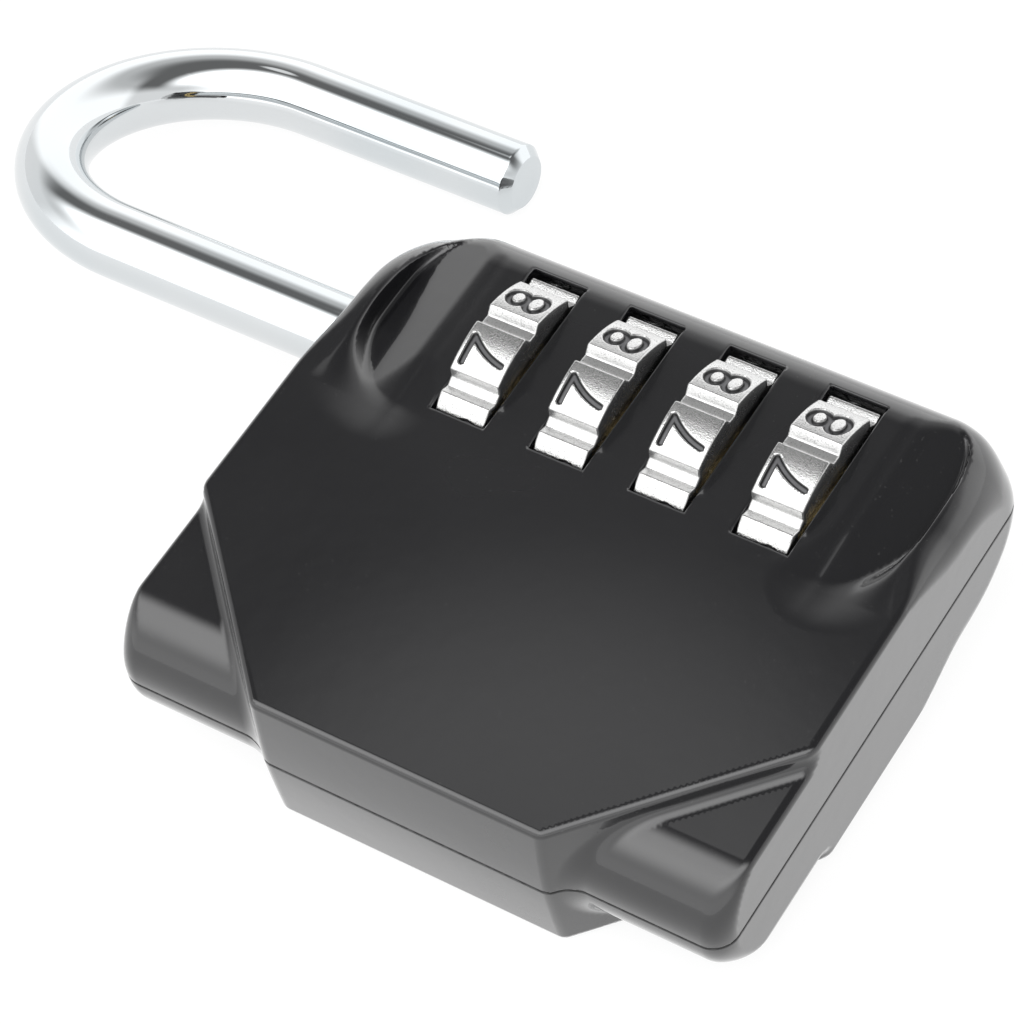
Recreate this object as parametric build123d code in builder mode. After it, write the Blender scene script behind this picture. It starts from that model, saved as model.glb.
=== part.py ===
from build123d import *
import os
from math import cos, radians, sin, sqrt

os.makedirs("parts", exist_ok=True)

# Four-dial combination padlock with the long leg of the shackle on the dials' own axis.
# Millimetres. X points right across the front, Y from the bottom end to the shackle,
# Z out of the front. The dial axis is the Y axis, and Y = 0 is the bottom end face.
# The lock is modelled unlocked: shackle lifted by one dial pitch and swung outwards.

# ---- Row of dials -------------------------------------------------------------
dial_count = 4
digit_count = 10
dial_pitch = 9.0
dial_radius = 10.1
dial_width = 4.5
dial_turn = 4.0              # angle of a groove between two digits, from +Z towards +X
notch_depth = 0.75
notch_mouth = 1.9            # groove width at the rim
notch_floor = 0.9            # groove width at its floor

# ---- Casing -------------------------------------------------------------------
top_margin = 10.15            # from the row of dials to the top end face
bottom_margin = 8.3
casing_half = 7.4            # half the thickness over the raised panel
casing_left = 37.4           # dial axis to the left edge of the raised panel
panel_left_length = 25.3     # length of the panel's left edge
panel_left_low = 14.2        # bottom end face to that edge
panel_diagonal_run = 15.3    # how far each diagonal edge runs in from the left
step_left = 36.0             # dial axis to the outer edge of the lower corner steps
step_half = 5.7              # half the thickness of the corner steps
step_round = 5.3
side_skin = 0.65             # metal between the dials and the right-hand side
side_round = 4.2             # rounding of the long right-hand edges
corner_round = 3.4           # plan rounding of the right-hand corners
panel_edge_round = 0.5
scoop_radius = 2.3           # finger hollows beside the outer dials
scoop_inset = 3.75           # end face to the middle of a hollow
scoop_start = 7.2            # dial axis to the centre of the hollow's round end
window_lip = 0.4             # straight wall at the two ends of each window

# ---- Clearances and fits -------------------------------------------------------
pocket_radial = 0.35         # dial rim to its pocket
pocket_side = 0.2            # dial face to its pocket
running_fit = 0.05           # radial, on everything that turns or slides
seat_fit = 0.02              # radial, on pieces held in the casing
open_gap = 0.3               # between curved faces that pass each other
stop_gap = 0.3               # lengthwise gap at a stop

# ---- Shackle -------------------------------------------------------------------
leg_radius = 3.2
leg_spacing = 28.5
shackle_reach = 25.3         # top end face to the bend's centre when lifted
tip_gap = 2.9                # top end face to the free tip when lifted
tip_chamfer = 0.8
foot_chamfer = 0.3
swing_angle = 20.0           # short leg below the +X direction, towards -Z
socket_depth = 6.7
bush_wall = 1.35

# ---- Locking rod and hubs --------------------------------------------------------
rod_radius = 2.3
fin_reach = 4.8
fin_width = 2.6
fin_thickness = 2.4
spigot_radius = 1.8
spigot_length = 6.0
groove_radius = 0.95
groove_height = 1.4
groove_drop = 1.2            # end of the spigot to the groove
swivel_pin_radius = 0.6
hub_radius = 6.4
hub_width = 5.6
gate_clearance = 0.1
lug_depth = 0.5
lug_width = 1.2

# ---- Lift spring and guide post ---------------------------------------------------
end_wall = 2.4
post_side = 1.8
post_overlap = 2.6           # post left in the rod when lifted
post_foot_radius = 3.6
post_foot_thickness = 1.2
spring_wire_radius = 0.35
spring_mean_radius = 2.05
spring_turns = 6
spring_seated_gap = 4.6      # room for the closed spring between post foot and rod

# ---- Click springs and assembly pins ------------------------------------------------
click_strip = 0.35
click_strip_width = 3.2
click_room = 1.75            # chamber beside the dial pockets
click_half_height = 5.6
click_shoulder_out = 0.7     # rim of the dial to the shoulders of the strip's tip
click_shoulder_half = 0.8
click_tip_half = 0.2
hollow_left = 30.5           # pocket that saves metal in the left half
hollow_right = 14.5
hollow_margin = 3.3          # beyond the row of dials, inwards from its ends
hollow_wall = 1.8
pin_radius = 1.2
pin_half_length = 3.5
pin_end_room = 0.1
pin_edge = 5.5               # end face to the pins' centres
pin_middle_x = -18.5
pin_right_x = 8.0
pin_left_x = -34.0
pin_left_half_spacing = 8.0

# ---- Places worked out from the sizes above -----------------------------------------
casing_length = bottom_margin + dial_count * dial_pitch + top_margin
row_centre = bottom_margin + dial_count * dial_pitch / 2
dial_places = [bottom_margin + (dial_count - k - 0.5) * dial_pitch for k in range(dial_count)]
lift = dial_pitch

pocket_radius = dial_radius + pocket_radial
pocket_width = dial_width + 2 * pocket_side
casing_right = pocket_radius + side_skin
window_half = sqrt(pocket_radius**2 - (casing_half - window_lip) ** 2)

hub_bore_radius = leg_radius + open_gap
journal_radius = hub_radius + running_fit
fin_room = fin_reach + 0.5
bush_outer = leg_radius + running_fit + bush_wall

fin_places = [place + dial_pitch / 2 for place in dial_places]
hub_reach = hub_width / 2 + pocket_side
lowest_fin = fin_places[-1] - lift - fin_thickness / 2 - stop_gap
spring_room = spring_mean_radius + spring_wire_radius + open_gap
rod_shoulder = fin_places[0] + fin_thickness / 2 + stop_gap
leg_foot = rod_shoulder + stop_gap
bush_foot = rod_shoulder
rod_foot = end_wall + spring_seated_gap + lift
spring_length = rod_foot - end_wall - 2 * spring_wire_radius - 2 * running_fit
post_top = rod_foot + post_overlap
rod_bore_depth = post_overlap + lift + 2 * stop_gap
rod_bore_side = post_side + 2 * running_fit
bend_centre = casing_length + shackle_reach
bend_radius = leg_spacing / 2
tip_height = casing_length + tip_gap

spigot_top = rod_shoulder + spigot_length
groove_middle = spigot_top - groove_drop - groove_height / 2
swivel_pin_offset = groove_radius + running_fit + swivel_pin_radius
swivel_pin_half = sqrt(leg_radius**2 - (swivel_pin_offset + swivel_pin_radius) ** 2)

panel_outline = [
    (-casing_left, panel_left_low),
    (-casing_left, panel_left_low + panel_left_length),
    (-casing_left + panel_diagonal_run, casing_length),
    (casing_right, casing_length),
    (casing_right, 0),
    (-casing_left + panel_diagonal_run, 0),
]
pin_places = [
    (pin_left_x, row_centre - pin_left_half_spacing),
    (pin_left_x, row_centre + pin_left_half_spacing),
    (pin_middle_x, pin_edge),
    (pin_middle_x, casing_length - pin_edge),
    (pin_right_x, pin_edge),
    (pin_right_x, casing_length - pin_edge),
]


def across(height):
    """Plane square to the dial axis at a height above the bottom end; local Y points to -Z."""
    return Plane(origin=(0, height, 0), x_dir=(1, 0, 0), z_dir=(0, 1, 0))


def finish(name, piece):
    """Label a finished piece and write its STEP file."""
    piece.part.label = name
    export_step(piece.part, f"parts/{name}.step")


# ---- Casing: two cast shells that meet at mid-thickness --------------------------------
def build_shell(name, keep):
    """One half of the casing, cut from the whole block at mid-thickness."""
    with BuildPart() as shell:
        # Six-sided raised block, with its right-hand corners rounded in plan
        with BuildSketch(Plane.XY.offset(-casing_half)) as panel:
            with BuildLine():
                Polyline(*panel_outline, close=True)
            make_face()
            fillet(panel.vertices().group_by(Axis.X)[-1], corner_round)
        extrude(amount=2 * casing_half)
        rim = shell.edges().group_by(Axis.Z)[0] + shell.edges().group_by(Axis.Z)[-1]
        fillet(rim.filter_by(lambda edge: edge.center().X < 0), panel_edge_round)

        # Long right-hand edges rounded by one profile along the length
        with BuildSketch(across(0)) as side_profile:
            with Locations(((casing_right - casing_left) / 2, 0)):
                Rectangle(casing_left + casing_right, 2 * casing_half)
            fillet(side_profile.vertices().group_by(Axis.X)[-1], side_round)
        extrude(amount=casing_length, mode=Mode.INTERSECT)

        # Lower steps outside the diagonals, with a full round along the left
        with BuildSketch(across(0)) as step_profile:
            with Locations(((hollow_right - step_left) / 2 - hollow_right, 0)):
                Rectangle(step_left - hollow_right, 2 * step_half)
            fillet(step_profile.vertices().group_by(Axis.X)[0], step_round)
        extrude(amount=casing_length)

        # Finger hollows beside the outer dials, front and back
        for height in (scoop_inset, casing_length - scoop_inset):
            for face in (-casing_half, casing_half):
                with Locations((-scoop_start, height, face)):
                    Sphere(scoop_radius, mode=Mode.SUBTRACT)
                    Cylinder(
                        scoop_radius,
                        scoop_start + casing_right + scoop_radius,
                        rotation=(0, 90, 0),
                        align=(Align.CENTER, Align.CENTER, Align.MIN),
                        mode=Mode.SUBTRACT,
                    )

        # Dial pockets and their windows
        for place in dial_places:
            with BuildSketch(across(place - pocket_width / 2)):
                Circle(pocket_radius)
                Rectangle(2 * window_half, 3 * casing_half)
            extrude(amount=pocket_width, mode=Mode.SUBTRACT)

        # One long bore in steps: the hubs' journals, the fins of the rod, and its spring
        for radius, low, high in (
            (journal_radius, dial_places[-1] - hub_reach, dial_places[0] + hub_reach),
            (fin_room, lowest_fin, bush_foot),
            (spring_room, end_wall, lowest_fin),
        ):
            with BuildSketch(across(low)):
                Circle(radius)
            extrude(amount=high - low, mode=Mode.SUBTRACT)

        # Seats for the leg bush and the foot of the guide post
        with BuildSketch(across(bush_foot)):
            Circle(bush_outer + seat_fit)
        extrude(amount=casing_length - bush_foot, mode=Mode.SUBTRACT)
        with BuildSketch(across(end_wall - post_foot_thickness)):
            Circle(post_foot_radius + seat_fit)
        extrude(amount=post_foot_thickness, mode=Mode.SUBTRACT)

        # Blind socket for the short leg
        with BuildSketch(across(casing_length - socket_depth)):
            with Locations((-leg_spacing, 0)):
                Circle(leg_radius + open_gap)
        extrude(amount=socket_depth, mode=Mode.SUBTRACT)

        # Chamber of the click springs, and a pocket that saves metal on the left
        with Locations((-pocket_radius - click_room, row_centre, 0)):
            Box(
                click_room + pocket_radius - hub_radius,
                dial_count * dial_pitch - dial_pitch + click_strip_width + 2 * open_gap,
                2 * click_half_height + 2 * open_gap,
                align=(Align.MIN, Align.CENTER, Align.CENTER),
                mode=Mode.SUBTRACT,
            )
        with Locations((-hollow_left, row_centre, 0)):
            Box(
                hollow_left - hollow_right,
                dial_count * dial_pitch - 2 * hollow_margin,
                2 * (casing_half - hollow_wall),
                align=(Align.MIN, Align.CENTER, Align.CENTER),
                mode=Mode.SUBTRACT,
            )

        # Blind holes for the assembly pins
        with Locations(*[(x, y, 0) for x, y in pin_places]):
            Cylinder(
                pin_radius + seat_fit,
                2 * (pin_half_length + pin_end_room),
                mode=Mode.SUBTRACT,
            )
        split(bisect_by=Plane.XY, keep=keep)
    finish(name, shell)


build_shell("front_shell", Keep.TOP)
build_shell("rear_shell", Keep.BOTTOM)

# ---- Pins that hold the two shells together ---------------------------------------------
with BuildPart() as assembly_pins:
    with Locations(*[(x, y, 0) for x, y in pin_places]):
        Cylinder(pin_radius, 2 * pin_half_length)
    chamfer(assembly_pins.edges().filter_by(GeomType.CIRCLE), 0.2)
finish("assembly_pins", assembly_pins)

# ---- Bush that guides the long leg through the top of the casing ---------------------------
with BuildPart() as leg_bush:
    with BuildSketch(across(bush_foot)):
        Circle(bush_outer)
        Circle(leg_radius + running_fit, mode=Mode.SUBTRACT)
    extrude(amount=casing_length - bush_foot)
    chamfer(leg_bush.edges().group_by(Axis.Y)[-1], 0.2)
finish("leg_bush", leg_bush)

# ---- Shackle: round bar bent to a U, with a blind bore in the foot of its long leg ----------
swing = radians(swing_angle)
shackle_plane = Plane(origin=(0, 0, 0), x_dir=(cos(swing), 0, -sin(swing)),
                      z_dir=(sin(swing), 0, cos(swing)))
with BuildPart() as shackle:
    with BuildLine(shackle_plane) as bar_path:
        long_leg = Line((0, leg_foot), (0, bend_centre))
        bend = ThreePointArc(
            long_leg @ 1,
            (bend_radius, bend_centre + bend_radius),
            (leg_spacing, bend_centre),
        )
        Line(bend @ 1, (leg_spacing, tip_height))
    with BuildSketch(across(leg_foot)):
        Circle(leg_radius)
    sweep(path=bar_path.wires()[0])
    tip_face = shackle.faces().filter_by(GeomType.PLANE).filter_by(
        lambda face: face.center().X > bend_radius
    )
    chamfer(tip_face.edges(), tip_chamfer)
    foot_face = shackle.faces().filter_by(GeomType.PLANE).sort_by(Axis.Y)[0]
    chamfer(foot_face.edges(), foot_chamfer)
    with BuildSketch(across(leg_foot)):
        Circle(spigot_radius + running_fit)
    extrude(amount=spigot_top + stop_gap - leg_foot, mode=Mode.SUBTRACT)
    with Locations((swivel_pin_offset, groove_middle, 0)):
        Cylinder(swivel_pin_radius + seat_fit, 3 * leg_radius, mode=Mode.SUBTRACT)
finish("shackle", shackle)

# ---- Cross pin in the long leg, which runs in the rod's groove -------------------------------
with BuildPart() as swivel_pin:
    with Locations((swivel_pin_offset, groove_middle, 0)):
        Cylinder(swivel_pin_radius, 2 * swivel_pin_half)
    chamfer(swivel_pin.edges().filter_by(GeomType.CIRCLE), 0.1)
finish("swivel_pin", swivel_pin)

# ---- Locking rod: one fin above each hub while the lock is open --------------------------------
with BuildPart() as locking_rod:
    with BuildSketch(across(rod_foot)):
        Circle(rod_radius)
    extrude(amount=rod_shoulder - rod_foot)
    for place in fin_places:
        with BuildSketch(across(place - fin_thickness / 2)):
            Circle(fin_reach)
            with Locations((-fin_reach, 0)):
                Rectangle(2 * fin_reach, fin_width, mode=Mode.INTERSECT)
        extrude(amount=fin_thickness)
    with BuildSketch(across(rod_shoulder)):
        Circle(spigot_radius)
    extrude(amount=spigot_length)
    with BuildSketch(across(groove_middle - groove_height / 2)):
        Circle(spigot_radius + 1)
        Circle(groove_radius, mode=Mode.SUBTRACT)
    extrude(amount=groove_height, mode=Mode.SUBTRACT)
    chamfer(locking_rod.edges().group_by(Axis.Y)[-1], 0.3)
    with BuildSketch(across(rod_foot)):
        Rectangle(rod_bore_side, rod_bore_side)
    extrude(amount=rod_bore_depth, mode=Mode.SUBTRACT)
finish("locking_rod", locking_rod)

# ---- Square post that keeps the rod from turning and guides its spring ---------------------------
with BuildPart() as guide_post:
    with BuildSketch(across(end_wall - post_foot_thickness)):
        Circle(post_foot_radius)
    extrude(amount=post_foot_thickness)
    with BuildSketch(across(end_wall)):
        Rectangle(post_side, post_side)
    extrude(amount=post_top - end_wall)
finish("guide_post", guide_post)

# ---- Coil spring that lifts the rod ------------------------------------------------------------------
spring_foot = end_wall + spring_wire_radius + running_fit
with BuildPart() as lift_spring:
    with BuildLine() as coil:
        Helix(
            spring_length / spring_turns,
            spring_length,
            spring_mean_radius,
            center=(0, spring_foot, 0),
            direction=(0, 1, 0),
        )
    with BuildSketch(Plane(origin=coil.line @ 0, z_dir=coil.line % 0)):
        Circle(spring_wire_radius)
    sweep(path=coil.line, is_frenet=True)
finish("lift_spring", lift_spring)

# ---- Dials, hubs and click springs, one of each for every place in the row ------------------------------
groove_step = 360 / digit_count
notch_radius = dial_radius - notch_depth
click_angle = dial_turn + groove_step * round((270 - dial_turn - groove_step / 3) / groove_step)



def beside_dial(reach, aside):
    """Sketch point at a radius and a sideways offset from the middle of the click groove."""
    turn = radians(click_angle - 90)
    return (reach * cos(turn) - aside * sin(turn), reach * sin(turn) + aside * cos(turn))


for number, place in enumerate(dial_places, start=1):
    # Dial: a ring with a shallow groove between each two digits, slotted inside for the hub
    with BuildPart() as dial:
        with BuildSketch(across(place - dial_width / 2)):
            Circle(dial_radius)
            Circle(journal_radius, mode=Mode.SUBTRACT)
            with PolarLocations(dial_radius, digit_count, start_angle=dial_turn - 90):
                Polygon(
                    (-notch_depth, -notch_floor / 2),
                    (0, -notch_mouth / 2),
                    (notch_depth, -notch_mouth / 2),
                    (notch_depth, notch_mouth / 2),
                    (0, notch_mouth / 2),
                    (-notch_depth, notch_floor / 2),
                    align=None,
                    mode=Mode.SUBTRACT,
                )
            with PolarLocations(hub_radius, digit_count, start_angle=dial_turn):
                Rectangle(
                    2 * (lug_depth + running_fit),
                    lug_width + 2 * running_fit,
                    mode=Mode.SUBTRACT,
                )
        extrude(amount=dial_width)
    finish(f"dial_{number}", dial)

    # Hub: journals at both ends, lugs in the dial, and the gate that lets a fin through
    with BuildPart() as hub:
        with BuildSketch(across(place - hub_width / 2)):
            Circle(hub_radius)
        extrude(amount=hub_width)
        with BuildSketch(across(place - dial_width / 2)):
            with PolarLocations(hub_radius, digit_count, start_angle=dial_turn):
                Rectangle(2 * lug_depth, lug_width)
        extrude(amount=dial_width)
        with BuildSketch(across(place - hub_width / 2)):
            Circle(hub_bore_radius)
            with Locations((-(fin_reach + 1.5 * gate_clearance) / 2, 0)):
                Rectangle(fin_reach + 1.5 * gate_clearance, fin_width + 2 * gate_clearance)
        extrude(amount=hub_width, mode=Mode.SUBTRACT)
    finish(f"hub_{number}", hub)

    # Click spring: arched strip whose tip drops into a groove of the dial
    tip_reach = notch_radius + running_fit + click_strip / 2
    shoulder_reach = dial_radius + click_shoulder_out
    back_x = -pocket_radius - click_room + click_strip / 2 + running_fit
    with BuildPart() as click_spring:
        with BuildSketch(across(place - click_strip_width / 2)):
            with BuildLine():
                Polyline(
                    (back_x, -click_half_height),
                    beside_dial(shoulder_reach, -click_shoulder_half),
                    beside_dial(tip_reach, -click_tip_half),
                    beside_dial(tip_reach, click_tip_half),
                    beside_dial(shoulder_reach, click_shoulder_half),
                    (back_x, click_half_height),
                )
            trace(line_width=click_strip)
        extrude(amount=click_strip_width)
    finish(f"click_spring_{number}", click_spring)

print("casing length", casing_length, "right", casing_right, "window half", round(window_half, 2))
print("lift", lift, "bend centre", bend_centre, "tip", tip_height, "rod foot", rod_foot)
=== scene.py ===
"""Combination padlock with four number dials, unlocked and lying on its back.

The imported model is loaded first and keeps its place. The two castings, the four dials
and the shackle are worked out again as finer surfaces; the pieces inside keep their
own meshes. All of them get procedural finishes. Blender works in metres, and the sizes
of the surfaces are written in millimetres and turned into metres by make_piece().

X points right across the front, Y from the bottom end to the shackle, Z out of the
front. The dials turn about the Y axis, and Y = 0 is the bottom end face.
"""

import logging
import math
from dataclasses import dataclass, field
from enum import Enum
from typing import Callable, Optional, Sequence, Union

import bpy
import numpy as np
from mathutils import Matrix


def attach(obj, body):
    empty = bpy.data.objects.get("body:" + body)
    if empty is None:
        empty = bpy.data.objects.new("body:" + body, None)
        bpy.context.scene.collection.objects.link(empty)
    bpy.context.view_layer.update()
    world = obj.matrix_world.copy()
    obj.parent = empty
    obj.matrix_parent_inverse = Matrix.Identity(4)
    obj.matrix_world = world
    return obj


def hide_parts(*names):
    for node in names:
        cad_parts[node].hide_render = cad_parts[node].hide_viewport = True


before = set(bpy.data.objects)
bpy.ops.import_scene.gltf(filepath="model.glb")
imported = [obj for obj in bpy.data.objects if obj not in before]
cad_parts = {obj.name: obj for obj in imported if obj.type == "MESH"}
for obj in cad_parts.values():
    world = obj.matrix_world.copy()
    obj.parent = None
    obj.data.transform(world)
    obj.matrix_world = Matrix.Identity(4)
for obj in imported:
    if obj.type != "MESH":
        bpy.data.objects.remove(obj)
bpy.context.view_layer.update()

log = logging.getLogger("padlock")

MM = 0.001
Colour = tuple[float, float, float, float]
Distance = Callable[[np.ndarray], np.ndarray]
Value = Union[float, Sequence[float], "Wire"]


# ---- Arithmetic on distances --------------------------------------------------------
def both(a: np.ndarray, b: np.ndarray, radius: Union[float, np.ndarray]) -> np.ndarray:
    """Common part of two solids, its edge rounded by a radius.

    The larger of the two distances is used, but where both are nearer to the surface
    than the radius, the distance is measured from a circle tangent to both.

    Args:
        a: Distance to the first solid, negative inside.
        b: Distance to the second solid.
        radius: Rounding of the edge where they meet.

    Returns:
        Distance to the common part.
    """
    return np.minimum(-radius, np.maximum(a, b)) + np.hypot(
        np.maximum(a + radius, 0), np.maximum(b + radius, 0)
    )


def either(a: np.ndarray, b: np.ndarray, radius: float) -> np.ndarray:
    """Union of two solids, its inner corner filled by a fillet of a radius."""
    return -both(-a, -b, radius)


def without(a: np.ndarray, b: np.ndarray, radius: float) -> np.ndarray:
    """First solid with the second cut out of it, the new edge rounded by a radius."""
    return both(a, -b, radius)


def ease(x: np.ndarray, low: float, high: float) -> np.ndarray:
    """Smooth step: 0 below low, 1 above high, and 3t^2 - 2t^3 between them."""
    t = np.clip((x - low) / (high - low), 0, 1)
    return t * t * (3 - 2 * t)


def slab(x: np.ndarray, low: float, high: float) -> np.ndarray:
    """Distance to the layer between two parallel planes."""
    return np.abs(x - (low + high) / 2) - (high - low) / 2


# ---- Meshes -------------------------------------------------------------------------
def graded(low: float, high: float, step: float, fine: float, places: Sequence[float],
           reach: float = 0.5) -> np.ndarray:
    """Grid lines that stand closer together near some places.

    The spacing is the coarse step, less a bell curve around each place that takes it
    down to the fine step. The lines are where the running sum of 1 / spacing passes
    each whole number.

    Args:
        low: First line.
        high: Last line.
        step: Spacing away from the places.
        fine: Spacing at the places.
        places: Where the surface has crisp edges.
        reach: Width of the bell curve.

    Returns:
        Positions of the lines.
    """
    dense = np.linspace(low, high, 6000)
    bell = np.zeros_like(dense)
    for place in places:
        bell = np.maximum(bell, np.exp(-(((dense - place) / reach) ** 2)))
    total = np.concatenate([[0], np.cumsum(1 / (step - (step - fine) * bell))[:-1]])
    total *= dense[1] - dense[0]
    count = int(math.ceil(total[-1])) + 1
    return np.interp(np.linspace(0, total[-1], count), total, dense)


def slope(distance: Distance, points: np.ndarray, step: float) -> np.ndarray:
    """Gradient of a distance, from its differences over a short step each way."""
    columns = []
    for axis in np.eye(3) * step:
        columns.append(distance(points + axis) - distance(points - axis))
    return np.stack(columns, axis=1) / (2 * step)


def skin(distance: Distance, lines: Sequence[np.ndarray]
         ) -> tuple[np.ndarray, np.ndarray, np.ndarray]:
    """Mesh of the surface where a distance is zero.

    Each cell of the grid that has corners on both sides gets one vertex, at the mean
    of the crossings on its edges. Each grid line between two neighbours on opposite
    sides gets a quad through the four cells around it. Then each vertex goes down the
    gradient, by the distance over the gradient's length, until it is on the surface.

    Args:
        distance: Distance to the solid, negative inside, for rows of x, y, z.
        lines: The grid's positions along x, y and z.

    Returns:
        Vertices, quads and the surface's own normals at the vertices.
    """
    shape = tuple(len(line) for line in lines)
    nodes = np.stack(np.meshgrid(*lines, indexing="ij"), axis=-1)
    value = distance(nodes.reshape(-1, 3)).reshape(shape)
    inside = value < 0

    corner = [(slice(None, -1), slice(1, None))[bit] for bit in (0, 1)]
    count = sum(
        inside[corner[i], corner[j], corner[k]].astype(np.int8)
        for i in (0, 1) for j in (0, 1) for k in (0, 1)
    )
    cells = np.argwhere((count > 0) & (count < 8))
    number = np.full(tuple(n - 1 for n in shape), -1)
    number[tuple(cells.T)] = np.arange(len(cells))

    total, crossings = np.zeros((len(cells), 3)), np.zeros((len(cells), 1))
    for axis in range(3):
        along = np.eye(3, dtype=int)[axis]
        across = [np.eye(3, dtype=int)[a] for a in range(3) if a != axis]
        for u in (0, 1):
            for v in (0, 1):
                start = cells + u * across[0] + v * across[1]
                end = start + along
                a, b = value[tuple(start.T)], value[tuple(end.T)]
                crossed = (a < 0) != (b < 0)
                share = np.where(crossed, a / np.where(crossed, a - b, 1), 0)[:, None]
                spot = nodes[tuple(start.T)] * (1 - share) + nodes[tuple(end.T)] * share
                total += spot * crossed[:, None]
                crossings += crossed[:, None]
    points = total / crossings

    quads = []
    for axis in range(3):
        u, v = (axis + 1) % 3, (axis + 2) % 3
        first = np.take(inside, range(shape[axis] - 1), axis=axis)
        second = np.take(inside, range(1, shape[axis]), axis=axis)
        edge = np.argwhere(first != second)
        edge = edge[(edge[:, u] > 0) & (edge[:, v] > 0)
                    & (edge[:, u] < shape[u] - 1) & (edge[:, v] < shape[v] - 1)]
        around = []
        for du, dv in ((1, 1), (0, 1), (0, 0), (1, 0)):
            cell = edge.copy()
            cell[:, u] -= du
            cell[:, v] -= dv
            around.append(number[tuple(cell.T)])
        quad = np.stack(around, axis=1)
        outward = first[tuple(edge.T)]
        quads.append(np.where(outward[:, None], quad, quad[:, ::-1]))

    home = points.copy()
    for _ in range(6):
        gradient = slope(distance, points, 0.01)
        length = np.maximum((gradient ** 2).sum(axis=1), 0.05)
        points = points - (distance(points) / length)[:, None] * gradient
        points = home + np.clip(points - home, -0.3, 0.3)
    normals = slope(distance, points, 0.02)
    normals /= np.maximum(np.linalg.norm(normals, axis=1, keepdims=True), 1e-9)
    return points, np.concatenate(quads), normals


def grid_quads(rows: int, columns: int, closed_rows: bool, closed_columns: bool
               ) -> np.ndarray:
    """Quads of a grid of vertices numbered row by row.

    Args:
        rows: Number of rows.
        columns: Number of vertices in a row.
        closed_rows: Whether the last row joins the first.
        closed_columns: Whether each row closes on itself.

    Returns:
        Vertex numbers, one quad a row.
    """
    i = np.arange(rows if closed_rows else rows - 1)[:, None]
    j = np.arange(columns if closed_columns else columns - 1)[None, :]
    i2, j2 = (i + 1) % rows, (j + 1) % columns
    corners = (i * columns + j, i * columns + j2, i2 * columns + j2, i2 * columns + j)
    return np.stack([c.reshape(-1) for c in corners], axis=1)


def make_piece(name: str, points: np.ndarray, faces: Union[np.ndarray, list],
               normals: Optional[np.ndarray] = None,
               layers: Optional[dict[str, np.ndarray]] = None,
               crease: float = 0.0) -> bpy.types.Object:
    """Puts a surface into a new object at the origin.

    Args:
        name: The object's name.
        points: Vertices in millimetres.
        faces: Vertex numbers of each face.
        normals: Shading normal of each vertex, where the surface knows them.
        layers: Numbers kept at the vertices for the finishes, by name.
        crease: Angle in degrees above which an edge is shaded sharp, 0 for none.

    Returns:
        The new object.
    """
    mesh = bpy.data.meshes.new(name)
    mesh.from_pydata(points * MM, [], faces)
    mesh.polygons.foreach_set("use_smooth", np.ones(len(mesh.polygons), dtype=bool))
    for layer, values in (layers or {}).items():
        attribute = mesh.attributes.new(layer, "FLOAT", "POINT")
        attribute.data.foreach_set("value", values.astype(np.float32))
    if crease:
        mesh.set_sharp_from_angle(angle=math.radians(crease))
    if normals is not None:
        mesh.normals_split_custom_set_from_vertices(normals)
    mesh.validate()
    piece = bpy.data.objects.new(name, mesh)
    bpy.context.scene.collection.objects.link(piece)
    return piece


# ---- Shader arithmetic --------------------------------------------------------------
class Wire:
    """Output socket of a shader node; arithmetic on it adds Math nodes."""

    def __init__(self, tree: "Tree", socket: bpy.types.NodeSocket) -> None:
        """Keeps the socket and the tree it belongs to."""
        self.tree = tree
        self.socket = socket

    def __add__(self, other: Value) -> "Wire":
        """Sum of two values."""
        return self.tree.math("ADD", self, other)

    __radd__ = __add__

    def __sub__(self, other: Value) -> "Wire":
        """This value less another."""
        return self.tree.math("SUBTRACT", self, other)

    def __rsub__(self, other: Value) -> "Wire":
        """Another value less this one."""
        return self.tree.math("SUBTRACT", other, self)

    def __mul__(self, other: Value) -> "Wire":
        """Product of two values."""
        return self.tree.math("MULTIPLY", self, other)

    __rmul__ = __mul__

    def __abs__(self) -> "Wire":
        """Size of the value without its sign."""
        return self.tree.math("ABSOLUTE", self)

    def step(self, low: float, high: float) -> "Wire":
        """Smooth step from 0 at low to 1 at high."""
        return self.tree.node(
            "ShaderNodeMapRange", {"interpolation_type": "SMOOTHSTEP"},
            {"Value": self, "From Min": low, "From Max": high},
        )


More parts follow.
